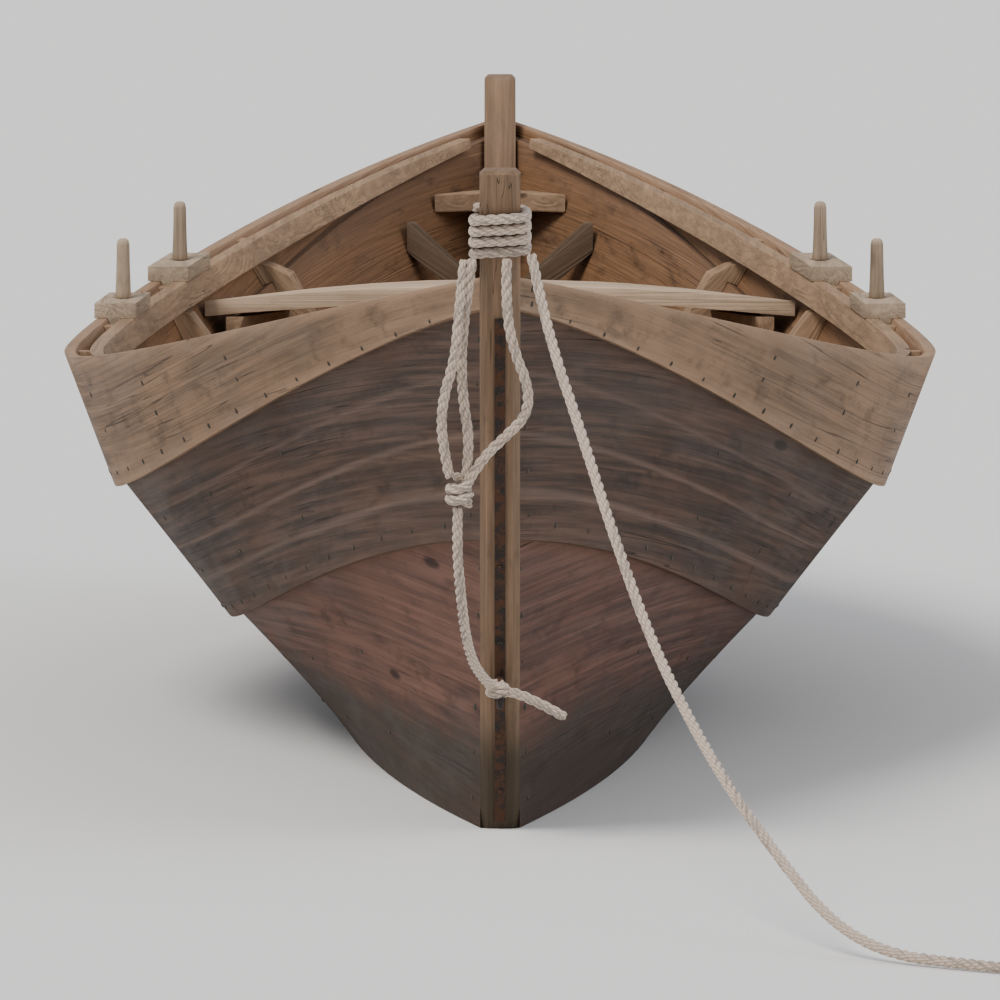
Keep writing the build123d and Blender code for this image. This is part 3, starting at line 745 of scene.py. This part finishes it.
class BOAT_OT_framing(bpy.types.Operator):
    """Frames, crooks, breasthooks, inwales and risers"""
    bl_idname = "boat.framing"
    bl_label = "Framing"

    def execute(self, context):
        material = frame_wood()
        seed = 20
        for number in range(1, 8):
            timber_copy(f"frame_{number}", material, grain_round, "frame_wood", 0.002, seed)
            seed += 1
        for end in ("bow", "stern"):
            timber_copy(f"{end}_crook", crook_wood_painted_shade(), grain_vee, "frame_wood", 0.003, seed)
            timber_copy(f"{end}_breasthook", material, grain_x, "frame_wood", 0.003, seed + 1)
            seed += 2
        for side, _ in SIDES:
            timber_copy(f"inwale_{side}", material, grain_y, "frame_wood", 0.002, seed)
            timber_copy(f"thwart_riser_{side}", material, grain_y, "frame_wood", 0.002, seed + 1)
            timber_copy(f"aft_seat_cleat_{side}", material, grain_y, "frame_wood", 0.002, seed + 2)
            seed += 3
        return {"FINISHED"}


class BOAT_OT_posts(bpy.types.Operator):
    """Stem post and stern post"""
    bl_idname = "boat.posts"
    bl_label = "Posts"

    def execute(self, context):
        timber_copy("stem_post", post_wood(), grain_raked(-1), "post_wood", 0.003, 41)
        timber_copy("stern_post", post_wood(), grain_raked(1), "post_wood", 0.003, 42)
        return {"FINISHED"}


class BOAT_OT_seats(bpy.types.Operator):
    """Thwarts, the high aft seat and the loose floor boards"""
    bl_idname = "boat.seats"
    bl_label = "Seats and floor boards"

    def execute(self, context):
        for seed, node in enumerate(("bow_thwart", "middle_thwart", "aft_thwart", "aft_seat"), 50):
            timber_copy(node, seat_wood(), grain_x, "seat_wood", 0.0015, seed)
        for seed, node in enumerate(("floor_board_middle", "floor_board_port", "floor_board_starboard"), 60):
            timber_copy(node, seat_wood(), grain_y, "seat_wood", 0.0015, seed, body=node)
        return {"FINISHED"}


def turned_pin(node, seed):
    """Thole pin with a shoulder, a slight waist and a rounded, hand-cut top."""
    low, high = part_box(node)
    centre = (low + high) / 2
    shoulder = high.z - 0.105
    shank, body_radius = 0.007, (high.x - low.x) / 2
    profile = [(0.0, low.z), (shank - 0.0012, low.z), (shank, low.z + 0.0012), (shank, shoulder),
               (body_radius - 0.001, shoulder), (body_radius, shoulder + 0.0015),
               (body_radius * 0.98, shoulder + 0.012), (body_radius * 0.90, shoulder + 0.040),
               (body_radius * 0.84, shoulder + 0.070), (body_radius * 0.82, high.z - 0.012),
               (body_radius * 0.70, high.z - 0.004), (body_radius * 0.40, high.z - 0.0006), (0.0, high.z)]
    ring = 28
    noise = random.Random(seed)
    flats = [1.0 - 0.035 * noise.random() for _ in range(ring)]
    work = bmesh.new()
    rows = []
    for radius, z in profile:
        if radius == 0.0:
            rows.append([work.verts.new((centre.x, centre.y, z))])
            continue
        row = []
        for k in range(ring):
            cut = flats[k] if z > shoulder + 0.002 else 1.0
            angle = 2 * math.pi * k / ring
            row.append(work.verts.new((centre.x + radius * cut * math.cos(angle),
                                       centre.y + radius * cut * math.sin(angle), z)))
        rows.append(row)
    for below, above in zip(rows, rows[1:]):
        for k in range(ring):
            following = (k + 1) % ring
            corners = [below[k % len(below)], below[following % len(below)],
                       above[following % len(above)], above[k % len(above)]]
            work.faces.new(list(dict.fromkeys(corners)))
    bmesh.ops.recalc_face_normals(work, faces=work.faces)
    mesh = bpy.data.meshes.new(node + "_turned")
    work.to_mesh(mesh)
    work.free()
    set_vectors(mesh, "grain", [(v.co.z + seed, v.co.x, v.co.y) for v in mesh.vertices])
    set_floats(mesh, "wear", [1.0 if v.co.z > high.z - 0.006 else 0.15 for v in mesh.vertices])
    set_floats(mesh, "inner", [0.0] * len(mesh.vertices))
    smooth(mesh, 45)
    mesh.materials.append(pin_wood())
    return finish_piece(link_object(node + "_turned", mesh), "hardwood", [node], node)


class BOAT_OT_rowing_gear(bpy.types.Operator):
    """Pads on the gunwales and the thole pins that stand in them"""
    bl_idname = "boat.rowing_gear"
    bl_label = "Rowing gear"

    def execute(self, context):
        seed = 70
        for side, _ in SIDES:
            for number in (1, 2):
                timber_copy(f"rowlock_pad_{side}_{number}", pin_wood(), grain_y, "hardwood", 0.0015, seed)
                turned_pin(f"thole_pin_{side}_{number}", seed + 1)
                seed += 2
        return {"FINISHED"}


class BOAT_OT_irons(bpy.types.Operator):
    """Iron bands on the posts and the forged eye at the forefoot"""
    bl_idname = "boat.irons"
    bl_label = "Irons"

    def execute(self, context):
        iron = shared("iron", iron_material)
        for node in ("stem_band", "stern_band"):
            timber_copy(node, iron, grain_z, "iron", 0.0008)
        timber_copy("forefoot_eye", iron, grain_z, "iron", 0.0)
        return {"FINISHED"}


def nail_tree(material):
    """Geometry Nodes that put one hammered nail head on each point, square to its 'facing' vector."""
    tree = bpy.data.node_groups.new("Nail heads", "GeometryNodeTree")
    face = tree.interface
    face.new_socket("Geometry", in_out="INPUT", socket_type="NodeSocketGeometry")
    for name in ("Head radius", "Head height"):
        face.new_socket(name, in_out="INPUT", socket_type="NodeSocketFloat")
    face.new_socket("Seed", in_out="INPUT", socket_type="NodeSocketInt")
    face.new_socket("Geometry", in_out="OUTPUT", socket_type="NodeSocketGeometry")
    new, link = tree.nodes.new, tree.links.new
    entry, leave = new("NodeGroupInput"), new("NodeGroupOutput")
    flat = new("ShaderNodeMath")
    flat.operation = "MULTIPLY"
    flat.inputs[1].default_value = 0.55
    head = new("GeometryNodeMeshCone")
    head.inputs["Vertices"].default_value = 9
    link(entry.outputs["Head radius"], flat.inputs[0])
    link(entry.outputs["Head radius"], head.inputs["Radius Bottom"])
    link(flat.outputs[0], head.inputs["Radius Top"])
    link(entry.outputs["Head height"], head.inputs["Depth"])
    facing = new("GeometryNodeInputNamedAttribute")
    facing.data_type = "FLOAT_VECTOR"
    facing.inputs["Name"].default_value = "facing"
    align = new("FunctionNodeAlignRotationToVector")
    align.axis = "Z"
    link(facing.outputs["Attribute"], align.inputs["Vector"])
    vary = new("FunctionNodeRandomValue")
    vary.data_type = "FLOAT"
    vary.inputs[2].default_value = 0.8
    vary.inputs[3].default_value = 1.15
    link(entry.outputs["Seed"], vary.inputs["Seed"])
    place = new("GeometryNodeInstanceOnPoints")
    link(entry.outputs["Geometry"], place.inputs["Points"])
    link(head.outputs["Mesh"], place.inputs["Instance"])
    link(align.outputs["Rotation"], place.inputs["Rotation"])
    link(vary.outputs[1], place.inputs["Scale"])
    real = new("GeometryNodeRealizeInstances")
    link(place.outputs[0], real.inputs[0])
    paint = new("GeometryNodeSetMaterial")
    paint.inputs["Material"].default_value = material
    link(real.outputs[0], paint.inputs["Geometry"])
    link(paint.outputs[0], leave.inputs[0])
    return tree


NAIL_SEED = 3


def nail_heads(name, points, material, radius, height, slot, nodes):
    """Plain mesh of nail heads at (place, facing) pairs."""
    mesh = bpy.data.meshes.new(name + "_points")
    mesh.from_pydata([tuple(place) for place, _ in points], [], [])
    set_vectors(mesh, "facing", [tuple(facing) for _, facing in points])
    holder = link_object(name + "_points", mesh)
    modifier = holder.modifiers.new("Nail heads", "NODES")
    modifier.node_group = nail_tree(material)
    values = {"Head radius": radius, "Head height": height, "Seed": NAIL_SEED}
    for item in modifier.node_group.interface.items_tree:
        if item.item_type == "SOCKET" and item.in_out == "INPUT" and item.name in values:
            modifier[item.identifier] = values[item.name]
    bpy.context.view_layer.update()
    result = bpy.data.meshes.new_from_object(holder.evaluated_get(bpy.context.evaluated_depsgraph_get()))
    bpy.data.objects.remove(holder)
    recalculate(result)
    if not result.materials:
        result.materials.append(material)
    return finish_piece(link_object(name, result), slot, nodes)


def outer_point(index, u, share):
    """Point on a plank's outer face, at a share of its height, and the way that the face looks."""
    corners = [Vector(c) for c in plank_corners(index, u)]
    place = corners[1].lerp(corners[2], share)
    angle = plank_angle(index, u)
    ahead = 0.004
    nearby = [Vector(c) for c in plank_corners(index, u + ahead)]
    run = in_station(u + ahead, nearby[1].lerp(nearby[2], share)) - in_station(u, place)
    up = Vector((math.cos(angle), 0.0, math.sin(angle)))
    facing = run.cross(up).normalized()
    if facing.x < 0:
        facing.negate()
    return in_station(u, place), facing


def lap_places(index):
    """Lap nails, midway between the frames and at even spaces from there: the station of each."""
    last = 13 if index == 0 else 14
    for i in range(-last - 1, last + 1):
        yield station_for((i + 0.5) * NAIL_SPACING, lambda u: plank_corners(index, u)[2])


def hull_nails():
    """Heads outside the laps, over the frames and down the plank ends at the posts."""
    points = []
    for index in (0, 1):
        for u in lap_places(index):
            points.append(outer_point(index + 1, u, 0.075 if index == 0 else 0.10))
    frame_places = [FIRST_FRAME + FRAME_SPACING * k for k in range(7)]
    for index, shares in ((0, (0.25, 0.62)), (1, (0.34, 0.72)), (2, (0.42, 0.70))):
        for place in frame_places:
            for share in shares:
                pick = lambda u, share=share: tuple(Vector(plank_corners(index, u)[1]).lerp(
                    Vector(plank_corners(index, u)[2]), share))
                points.append(outer_point(index, station_for(place, pick), share))
    for index, count in ((0, 6), (1, 5), (2, 2)):
        for end in (-1.0, 1.0):
            for k in range(count):
                share = (k + 0.6) / (count + 0.2)
                points.append(outer_point(index, end * 0.992, share))
    return points


def mirrored_points(points, sign):
    return [(Vector((sign * p.x, p.y, p.z)), Vector((sign * f.x, f.y, f.z))) for p, f in points]


class BOAT_OT_nails(bpy.types.Operator):
    """Nail heads on the planks and the thwarts"""
    bl_idname = "boat.nails"
    bl_label = "Nails"

    def execute(self, context):
        copper = shared("copper", copper_material)
        iron = shared("iron", iron_material)
        points = hull_nails()
        for side, sign in SIDES:
            nail_heads(f"hull_nail_heads_{side}", mirrored_points(points, sign), copper, 0.0050, 0.0016,
                       "copper", [f"lap_nails_{side}"])
        up = Vector((0, 0, 1))
        on_seats = []
        for node in ("bow_thwart", "middle_thwart", "aft_thwart"):
            low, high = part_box(node)
            middle = (low.y + high.y) / 2
            edge = min(abs(low.x), high.x) - 0.055
            for sign in (-1, 1):
                for shift in (-0.06, 0.06):
                    on_seats.append((Vector((sign * edge, middle + shift, high.z)), up))
        nail_heads("thwart_nail_heads", on_seats, iron, 0.0055, 0.0014, "copper", ["thwart_nails"])
        on_band = []
        for end, head_height in ((-1.0, BOW_HEAD_HEIGHT), (1.0, STERN_HEAD_HEIGHT)):
            for height in (0.06, 0.15, 0.30, 0.42, 0.54, 0.66, 0.77):
                reach = post_front(height, head_height) + BAND_THICKNESS
                slope = (post_front(height + 0.01, head_height) - post_front(height, head_height)) / 0.01
                on_band.append((Vector((0.0, end * reach, height)), Vector((0.0, end, -slope)).normalized()))
        nail_heads("band_nail_heads", on_band, iron, 0.0048, 0.0022, "iron", [])
        return {"FINISHED"}


# ---- the mooring rope
MOORING_ROUTE = [
    (0.046, -2.664, 0.906), (0.060, -2.702, 0.838), (0.084, -2.762, 0.752), (0.114, -2.832, 0.668),
    (0.163, -2.962, 0.518), (0.222, -3.122, 0.360), (0.306, -3.352, 0.214), (0.386, -3.568, 0.118),
    (0.452, -3.722, 0.046), (0.528, -3.822, 0.012), (0.620, -3.903, 0.009), (0.700, -3.966, 0.0085),
    (0.762, -4.005, 0.0085), (0.807, -4.026, 0.0085),
]
OUTER_STRAND = [
    (-0.052, -2.660, 0.898), (-0.060, -2.664, 0.820), (-0.066, -2.658, 0.752), (-0.084, -2.636, 0.694),
    (-0.087, -2.606, 0.634), (-0.074, -2.580, 0.574),
]
INNER_STRAND = [
    (-0.040, -2.666, 0.900), (-0.052, -2.650, 0.820), (-0.057, -2.628, 0.752), (-0.054, -2.604, 0.684),
    (-0.044, -2.582, 0.624), (-0.050, -2.576, 0.574),
]
MIDDLE_STRAND = [
    (0.010, -2.668, 0.900), (0.008, -2.672, 0.830), (0.020, -2.668, 0.766), (0.042, -2.648, 0.712),
    (0.040, -2.622, 0.668), (0.006, -2.600, 0.634), (-0.028, -2.588, 0.600), (-0.048, -2.576, 0.566),
]
FALL = [
    (-0.062, -2.574, 0.530), (-0.064, -2.548, 0.470), (-0.058, -2.494, 0.390), (-0.050, -2.420, 0.316),
    (-0.034, -2.330, 0.262), (-0.012, -2.262, 0.236),
]
TAIL = [
    (0.004, -2.256, 0.230), (0.026, -2.266, 0.226), (0.050, -2.272, 0.216), (0.074, -2.272, 0.204),
    (0.098, -2.268, 0.190),
]
COIL_CENTRE = (0.852, -3.930)
KNOT_CENTRE = (-0.060, -2.576, 0.552)
END_KNOT_CENTRE = (0.936, -4.048, 0.018)
HITCH_CENTRE = (-0.004, -2.258, 0.232)
POINTS_PER_TURN = 14
ROPE_REST = 0.0085
TURN_SPACING = 0.0170
LASHING_LOW = 0.9045
LASHING_CLIMB = 0.0165
LASHING_TURNS = 4


def coil_points():
    """Route of the rope that is put away: a layer that winds inwards, then one that winds out on top."""
    points = []
    start = math.radians(245)
    step = 2 * math.pi / POINTS_PER_TURN
    lower_steps, upper_steps = 36, 21
    for i in range(1, lower_steps + upper_steps + 1):
        angle = start + i * step
        if i <= lower_steps:
            radius, height = 0.107 - TURN_SPACING * i / POINTS_PER_TURN, ROPE_REST
        else:
            radius, height = 0.0645 + TURN_SPACING * (i - lower_steps) / POINTS_PER_TURN, 0.0255
        points.append((COIL_CENTRE[0] + radius * math.cos(angle),
                       COIL_CENTRE[1] + radius * math.sin(angle), height))
    return points


COIL_END = [(0.866, -4.034, 0.025), (0.892, -4.042, 0.019), (0.914, -4.046, 0.013), (0.930, -4.046, 0.012)]


def lashing_points():
    """Turns round the stem head: a rounded oblong that climbs by one rope's width in each turn."""
    x = POST_HALF + ROPE_REST
    points = []
    corners = ((-1, 0.30), (-1, 0.0), (-0.45, -0.02), (0.45, -0.02), (1, 0.0), (1, 0.30), (1, 0.98),
               (0.7, 1.0), (-0.7, 1.0), (-1, 0.98))
    for turn in range(LASHING_TURNS):
        for k, (side, depth) in enumerate(corners):
            height = LASHING_LOW + LASHING_CLIMB * (turn + k / len(corners))
            near = -post_front(height, BOW_HEAD_HEIGHT) - ROPE_REST
            far = -post_inner(height) + ROPE_REST
            points.append((side * x, near + (far - near) * depth, height))
    return points


def rope_finish():
    return shared("rope", lambda: rope_material(list(rope_settings().color)))


def knot_points(centre, size, turns, tilt):
    """Round turns pulled tight about the strands."""
    points = []
    count = 9
    for i in range(int(turns * count) + 1):
        angle = 2 * math.pi * i / count
        across = math.sin(angle) * size[0]
        points.append((centre[0] + math.cos(angle) * size[0], centre[1] + math.sin(angle) * size[1],
                       centre[2] + size[2] * (2 * i / (turns * count) - 1) + across * tilt))
    return points


class BOAT_OT_mooring_rope(bpy.types.Operator):
    """Rope turns on the stem head, the bridle down to the eye and the mooring line"""
    bl_idname = "boat.mooring_rope"
    bl_label = "Mooring rope"

    def execute(self, context):
        material = rope_finish()
        diameter = rope_settings().diameter
        made = {}
        for name, route, nodes in (
                ("bridle_outer", OUTER_STRAND, ["bridle_outer_strand"]),
                ("bridle_inner", INNER_STRAND, ["bridle_inner_strand"]),
                ("bridle_middle", MIDDLE_STRAND, ["bridle_middle_strand"]),
                ("bridle_fall_rope", FALL, ["bridle_fall"]),
                ("bridle_tail_rope", TAIL, ["bridle_tail"]),
                ("mooring_rope", MOORING_ROUTE + coil_points() + COIL_END,
                 ["mooring_line", "mooring_line_coil"]),
                ("head_lashing_turns", lashing_points(), ["head_lashing"]),
                ("bridle_knot_turns", knot_points(KNOT_CENTRE, (0.0150, 0.0140, 0.019), 2.4, 0.25),
                 ["bridle_knot"]),
                ("eye_hitch_turns", knot_points(HITCH_CENTRE, (0.0120, 0.0125, 0.0085), 1.9, 0.35), []),
                ("mooring_end_knot", knot_points(END_KNOT_CENTRE, (0.0130, 0.0100, 0.0045), 1.6, 0.1),
                 ["mooring_line_end_knot"])):
            piece, path, length = laid_rope(name, route, diameter, material)
            finish_piece(piece, "rope", nodes)
            made[name] = piece, path, length
        for name, far_end, lay, others in (
                ("bridle_outer", "knot", "hanging", ["bridle_knot_turns"]),
                ("bridle_inner", "knot", "hanging", []),
                ("bridle_middle", "knot", "hanging", []),
                ("bridle_fall_rope", "object", "hanging", ["eye_hitch_turns"]),
                ("bridle_tail_rope", "bare", "hanging", []),
                ("mooring_rope", "knot", "coiled", ["mooring_end_knot"])):
            piece, path, length = made[name]
            pieces = [made[other][0] for other in others]
            tuple(path[0])
            [tuple(p) for p in path]
        return {"FINISHED"}


# ---- stage
def soft_sun(name, energy, angle, color, turn):
    light = bpy.data.lights.new(name, "SUN")
    light.energy = energy
    light.angle = math.radians(angle)
    light.color = color
    holder = link_object(name, light)
    holder.rotation_euler = [math.radians(a) for a in turn]


class BOAT_OT_stage(bpy.types.Operator):
    """Pale floor, soft light and camera"""
    bl_idname = "boat.stage"
    bl_label = "Stage"

    def execute(self, context):
        stage = context.scene.boat_stage
        reach = 500.0
        mesh = bpy.data.meshes.new("floor")
        corners = [(-reach, -reach, 0), (reach, -reach, 0), (reach, reach, 0), (-reach, reach, 0)]
        mesh.from_pydata(corners, [], [(0, 1, 2, 3)])
        mesh.materials.append(floor_material(list(stage.floor)))
        floor = link_object("floor", mesh)
        floor.location.z = -0.0005

        world = bpy.data.worlds.new("Soft sky")
        context.scene.world = world
        world.use_nodes = True
        background = world.node_tree.nodes["Background"]
        background.inputs["Color"].default_value = (0.90, 0.93, 1.0, 1.0)
        background.inputs["Strength"].default_value = 0.75
        soft_sun("key_light", 2.6, 25, (1.0, 0.96, 0.90), (38, 0, -38))
        soft_sun("side_light", 0.7, 50, (0.92, 0.95, 1.0), (58, 0, 70))

        camera = bpy.data.cameras.new("camera")
        camera.lens = stage.lens
        camera.sensor_width = 36.0
        camera.clip_end = 2000.0
        camera.dof.use_dof = False
        holder = link_object("camera", camera)
        holder.location = (0.0, -stage.distance, stage.eye_height)
        holder.rotation_euler = (math.radians(90) - stage.tilt, 0.0, 0.0)
        context.scene.camera = holder
        return {"FINISHED"}


# ---- panel and registration
OPERATORS = (BOAT_OT_planking, BOAT_OT_framing, BOAT_OT_posts, BOAT_OT_seats, BOAT_OT_rowing_gear,
             BOAT_OT_irons, BOAT_OT_nails, BOAT_OT_mooring_rope, BOAT_OT_stage)


class BOAT_PT_build(bpy.types.Panel):
    """Settings and steps of the boat"""
    bl_idname = "BOAT_PT_build"
    bl_label = "Boat"
    bl_space_type = "VIEW_3D"
    bl_region_type = "UI"
    bl_category = "Boat"

    def draw(self, context):
        scene = context.scene
        for group in (scene.boat_wood, scene.boat_rope, scene.boat_stage):
            box = self.layout.box()
            for setting in group.bl_rna.properties:
                if setting.identifier not in ("rna_type", "name"):
                    box.prop(group, setting.identifier)
        for operator in OPERATORS:
            self.layout.operator(operator.bl_idname)


CLASSES = (WoodSettings, RopeSettings, StageSettings) + OPERATORS + (BOAT_PT_build,)


def register():
    for item in CLASSES:
        bpy.utils.register_class(item)
    bpy.types.Scene.boat_wood = PointerProperty(type=WoodSettings)
    bpy.types.Scene.boat_rope = PointerProperty(type=RopeSettings)
    bpy.types.Scene.boat_stage = PointerProperty(type=StageSettings)


def unregister():
    del bpy.types.Scene.boat_stage
    del bpy.types.Scene.boat_rope
    del bpy.types.Scene.boat_wood
    for item in reversed(CLASSES):
        bpy.utils.unregister_class(item)


def main():
    register()
    for operator in OPERATORS:
        step = getattr(bpy.ops.boat, operator.bl_idname.split(".")[1])
        if step() != {"FINISHED"}:
            raise RuntimeError(f"{operator.bl_label} did not finish")
    bpy.context.view_layer.update()


if __name__ == "__main__":
    main()
